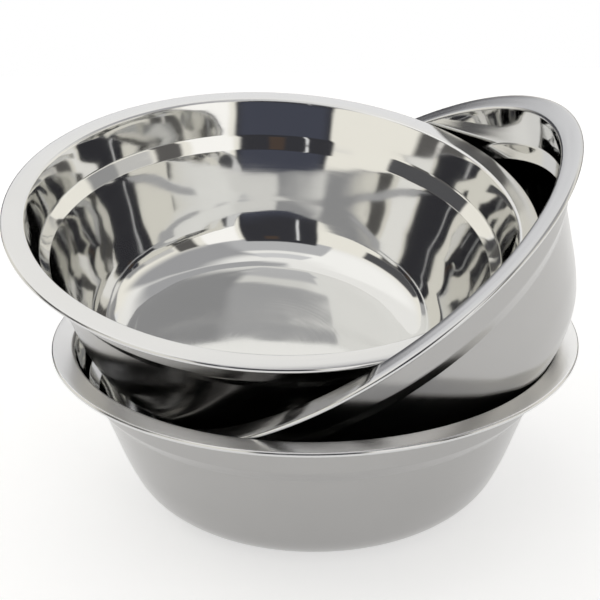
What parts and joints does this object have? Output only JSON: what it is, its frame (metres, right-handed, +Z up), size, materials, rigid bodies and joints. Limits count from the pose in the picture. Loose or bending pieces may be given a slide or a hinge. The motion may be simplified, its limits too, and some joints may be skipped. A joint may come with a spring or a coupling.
{
  "type": "basin set",
  "caption": "Loose stack of equal round stainless-steel basins with stepped walls, flat brims and folded edges, each lifting out of the one below.",
  "frame": {"origin": "centre of the underside of the bottom basin, on the surface the stack stands on", "axes": "+Z up along the bottom basin's axis, -Y towards the front, +X to the right: the middle basin faces -X"},
  "size_m": [0.2792, 0.2616, 0.1885],
  "materials": {
    "bottom_steel": "satin outside, mirror polished inside",
    "middle_steel": "satin outside, mirror polished inside",
    "top_steel": "satin outside, mirror polished inside"
  },
  "bodies": {
    "bottom": {"bottom_basin": "bottom_steel"},
    "middle": {"middle_basin": "middle_steel"},
    "top": {"top_basin": "top_steel"}
  },
  "joints": [
    {"name": "middle_lift", "type": "slide", "parent": "bottom", "child": "middle", "axis": [0, 0, 1], "range_m": [0, 0.08]},
    {"name": "top_lift", "type": "slide", "parent": "middle", "child": "top", "axis": [0, 0, 1], "range_m": [0, 0.15]}
  ]
}
